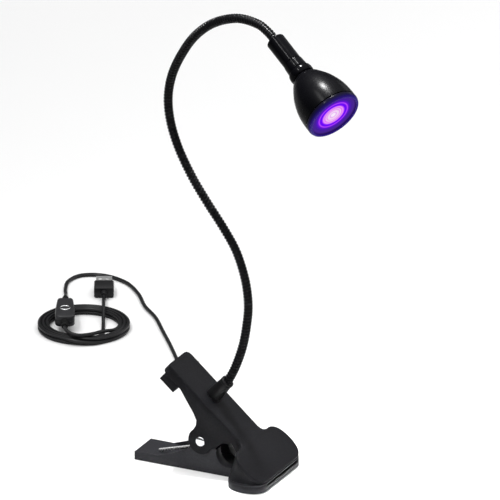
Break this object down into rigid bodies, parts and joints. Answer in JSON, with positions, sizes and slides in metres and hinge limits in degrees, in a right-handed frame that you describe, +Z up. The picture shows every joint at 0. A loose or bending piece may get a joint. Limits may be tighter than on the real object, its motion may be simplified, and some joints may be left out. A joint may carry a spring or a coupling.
{
  "type": "uv curing lamp",
  "caption": "Clip-on curing lamp: sprung clip base, flexible gooseneck, bell-shaped violet lamp head, and a lead with inline push switch and plug.",
  "frame": {"origin": "on the floor straight below the clip's pivot, in the middle of the clip's width", "axes": "+X along the clip towards the jaw's tip, +Y along the pivot pin, +Z up"},
  "size_m": [0.3964, 0.38, 0.3666],
  "materials": {
    "clip": "fine-textured black ABS",
    "rubber": "matt black rubber",
    "chrome": "bright chrome plate",
    "spring": "nickel-plated spring steel",
    "zinc": "zinc-plated steel",
    "neck": "satin black coated ribbed steel gooseneck",
    "head_paint": "gloss black painted aluminium",
    "cord": "satin black PVC",
    "switch_case": "satin black ABS",
    "usb": "nickel-plated folded steel",
    "tongue": "white moulded plastic",
    "lens": "clear lens, lit violet",
    "reflector": "bright metallised plastic",
    "board": "white solder mask",
    "chip": "LED die under clear resin",
    "aluminium": "machined aluminium",
    "circuit": "green solder mask"
  },
  "bodies": {
    "lower_arm": {"lower_arm": "clip", "lower_jaw_pad": "rubber", "torsion_spring": "spring", "cord_lead": "cord", "cord_link": "cord", "cord_coil": "cord", "cord_tail": "cord", "switch_base": "switch_case", "switch_cover": "switch_case", "button_ring": "chrome", "switch_board": "circuit", "key_contact": "zinc", "relief_lamp_side": "rubber", "relief_plug_side": "rubber", "plug_grip": "cord", "plug_shell": "usb", "plug_tongue": "tongue", "plug_relief": "cord"},
    "upper_arm": {"upper_arm": "clip", "upper_jaw_pad": "rubber", "pivot_pin": "chrome", "rivet_cap": "chrome", "lead_clamp_block": "clip", "clamp_screw": "zinc", "arm_lead": "cord", "lead_exit_relief": "rubber", "neck_socket": "head_paint", "socket_washer": "zinc", "socket_nut": "zinc", "neck_link_1": "neck"},
    "neck_2": {"neck_link_2": "neck"},
    "neck_3": {"neck_link_3": "neck"},
    "neck_4": {"neck_link_4": "neck"},
    "neck_5": {"neck_link_5": "neck"},
    "head": {"neck_link_6": "neck", "head_sleeve": "head_paint", "head_coupling": "head_paint", "head_collar": "head_paint", "head_bell": "head_paint", "head_bezel": "head_paint", "lens": "lens", "reflector": "reflector", "led_board": "board", "led_chip": "chip", "heat_spreader": "aluminium", "head_lead": "cord"},
    "switch_button": {"switch_button": "switch_case"}
  },
  "joints": [
    {"name": "clip_hinge", "type": "hinge", "parent": "lower_arm", "child": "upper_arm", "pos_m": [0, 0, 0.025], "axis": [0, -1, 0], "range_deg": [0, 45], "stiffness_Nm_per_rad": 0.6, "springref_deg": -68.75, "deforming": ["torsion_spring", "cord_lead"]},
    {"name": "neck_bend_1", "type": "hinge", "parent": "upper_arm", "child": "neck_2", "pos_m": [0.02849, 0, 0.10905], "axis": [0, 1, 0], "range_deg": [-25, 25]},
    {"name": "neck_bend_2", "type": "hinge", "parent": "neck_2", "child": "neck_3", "pos_m": [0.02006, 0, 0.17327], "axis": [0.8841, 0, 0.4673], "range_deg": [-30, 30]},
    {"name": "neck_bend_3", "type": "hinge", "parent": "neck_3", "child": "neck_4", "pos_m": [-0.01712, 0, 0.22773], "axis": [0, 1, 0], "range_deg": [-30, 30]},
    {"name": "neck_bend_4", "type": "hinge", "parent": "neck_4", "child": "neck_5", "pos_m": [-0.03172, -0.00186, 0.29053], "axis": [0.9804, 0, -0.1971], "range_deg": [-30, 30]},
    {"name": "neck_bend_5", "type": "hinge", "parent": "neck_5", "child": "head", "pos_m": [0.00165, -0.01226, 0.34523], "axis": [0.2964, 0.9551, 0], "range_deg": [-30, 30]},
    {"name": "button_press", "type": "slide", "parent": "lower_arm", "child": "switch_button", "axis": [0, 0, -1], "range_m": [0, 0.0008], "stiffness_N_per_m": 400}
  ]
}
